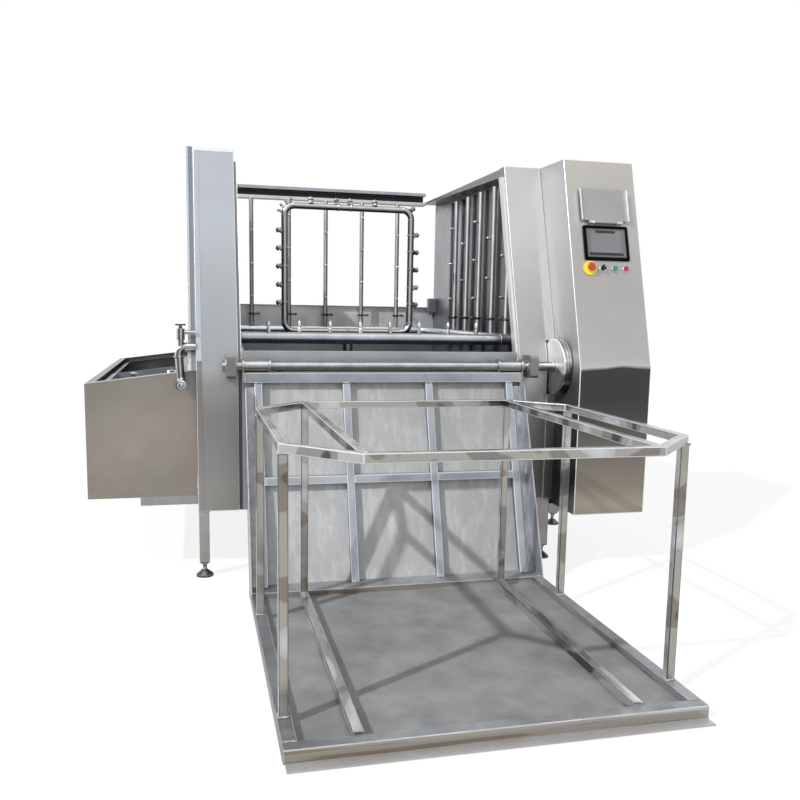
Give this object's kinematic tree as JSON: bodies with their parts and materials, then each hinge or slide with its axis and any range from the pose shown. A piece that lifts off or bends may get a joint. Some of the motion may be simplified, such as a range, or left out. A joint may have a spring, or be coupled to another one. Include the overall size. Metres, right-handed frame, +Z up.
{
  "type": "trash can cleaning machine",
  "caption": "Wheeled-bin washer: a caged cradle swings the bin up over a loop of spray nozzles in a sheet-steel chamber with a side water tank and a control cabinet.",
  "frame": {"origin": "on the floor, in the middle of the machine's box in plan, with the cradle lowered", "axes": "+X to the cabinet's side, +Y from the loading side to the back wall, +Z up"},
  "size_m": [2.245, 3.202, 1.765],
  "materials": {
    "sheet_steel": "brushed stainless sheet",
    "tank_steel": "satin stainless sheet",
    "tube_steel": "satin stainless tube",
    "polished_tube": "polished stainless tube",
    "bright_fittings": "bright",
    "pump_steel": "cast, satin",
    "motor_paint": "satin paint",
    "float_brass": "satin",
    "screen_glass": "dark gloss",
    "screen_frame": "fine matt",
    "black_plastic": "matt",
    "yellow_plastic": "satin",
    "red_plastic": "satin",
    "green_plastic": "satin"
  },
  "bodies": {
    "base": {"left_front_cover": "sheet_steel", "right_front_cover": "sheet_steel", "seal_strips": "sheet_steel", "left_side_wall": "sheet_steel", "right_side_wall": "sheet_steel", "wash_chamber": "sheet_steel", "wall_linings": "sheet_steel", "rear_rail": "sheet_steel", "control_cabinet": "sheet_steel", "cabinet_back_door": "sheet_steel", "junction_box": "sheet_steel", "water_tank": "tank_steel", "tank_rim": "tank_steel", "filter_tray": "tank_steel", "tank_brackets": "tank_steel", "base_frame": "tube_steel", "pump_tray": "tube_steel", "gearmotor_stand": "tube_steel", "shaft_bearings": "tube_steel", "ring_main": "polished_tube", "riser_pipe": "polished_tube", "rear_spray_pipes": "polished_tube", "side_spray_pipes": "polished_tube", "inner_spray_loop": "polished_tube", "suction_pipe": "polished_tube", "drain_outlet": "polished_tube", "outlet_pipe": "polished_tube", "cover_hinge": "polished_tube", "ring_main_nozzles": "bright_fittings", "inner_loop_nozzles": "bright_fittings", "wall_nozzles": "bright_fittings", "union_clamps": "bright_fittings", "clamp_wing_nuts": "bright_fittings", "pipe_clamps": "bright_fittings", "levelling_feet": "bright_fittings", "button_collars": "bright_fittings", "spray_pump": "pump_steel", "drive_gearmotor": "motor_paint", "pump_motor": "motor_paint", "float_valve": "float_brass", "screen_panel": "screen_glass", "screen_bezel": "screen_frame", "e_stop_base": "yellow_plastic"},
    "cradle": {"cradle_shaft": "polished_tube", "drive_disc": "tube_steel", "shaft_sleeves": "polished_tube", "cradle_back_frame": "tube_steel", "cradle_back_sheet": "sheet_steel", "cradle_side_flanges": "sheet_steel", "platform_frame": "tube_steel", "platform_sheet": "sheet_steel", "front_lip": "sheet_steel", "cage_ring": "polished_tube", "cage_posts": "polished_tube"},
    "cover": {"screen_cover": "sheet_steel"},
    "e_stop": {"e_stop_button": "red_plastic"},
    "selector": {"selector_knob": "black_plastic"},
    "start": {"start_button": "green_plastic"},
    "stop": {"stop_button": "red_plastic"},
    "handle": {"valve_handle": "bright_fittings"}
  },
  "joints": [
    {"name": "cradle_tilt", "type": "hinge", "parent": "base", "child": "cradle", "pos_m": [0.0465, -0.119, 0.85], "axis": [-1, 0, 0], "range_deg": [0, 180]},
    {"name": "cover_flip", "type": "hinge", "parent": "base", "child": "cover", "pos_m": [0.966, -0.14199, 1.45187], "axis": [1, 0, 0], "range_deg": [0, 178]},
    {"name": "e_stop_press", "type": "slide", "parent": "base", "child": "e_stop", "axis": [0, 0.96, -0.2798], "range_m": [0, 0.004], "stiffness_N_per_m": 1500},
    {"name": "selector_turn", "type": "hinge", "parent": "base", "child": "selector", "pos_m": [0.9405, -0.18435, 1.26006], "axis": [0, -0.96, 0.2798], "range_deg": [0, 90]},
    {"name": "start_press", "type": "slide", "parent": "base", "child": "start", "axis": [0, 0.96, -0.2798], "range_m": [0, 0.003], "stiffness_N_per_m": 800},
    {"name": "stop_press", "type": "slide", "parent": "base", "child": "stop", "axis": [0, 0.96, -0.2798], "range_m": [0, 0.003], "stiffness_N_per_m": 800},
    {"name": "handle_turn", "type": "hinge", "parent": "base", "child": "handle", "pos_m": [-0.7605, -0.053, 1], "axis": [0, 0, 1], "range_deg": [0, 90]}
  ]
}
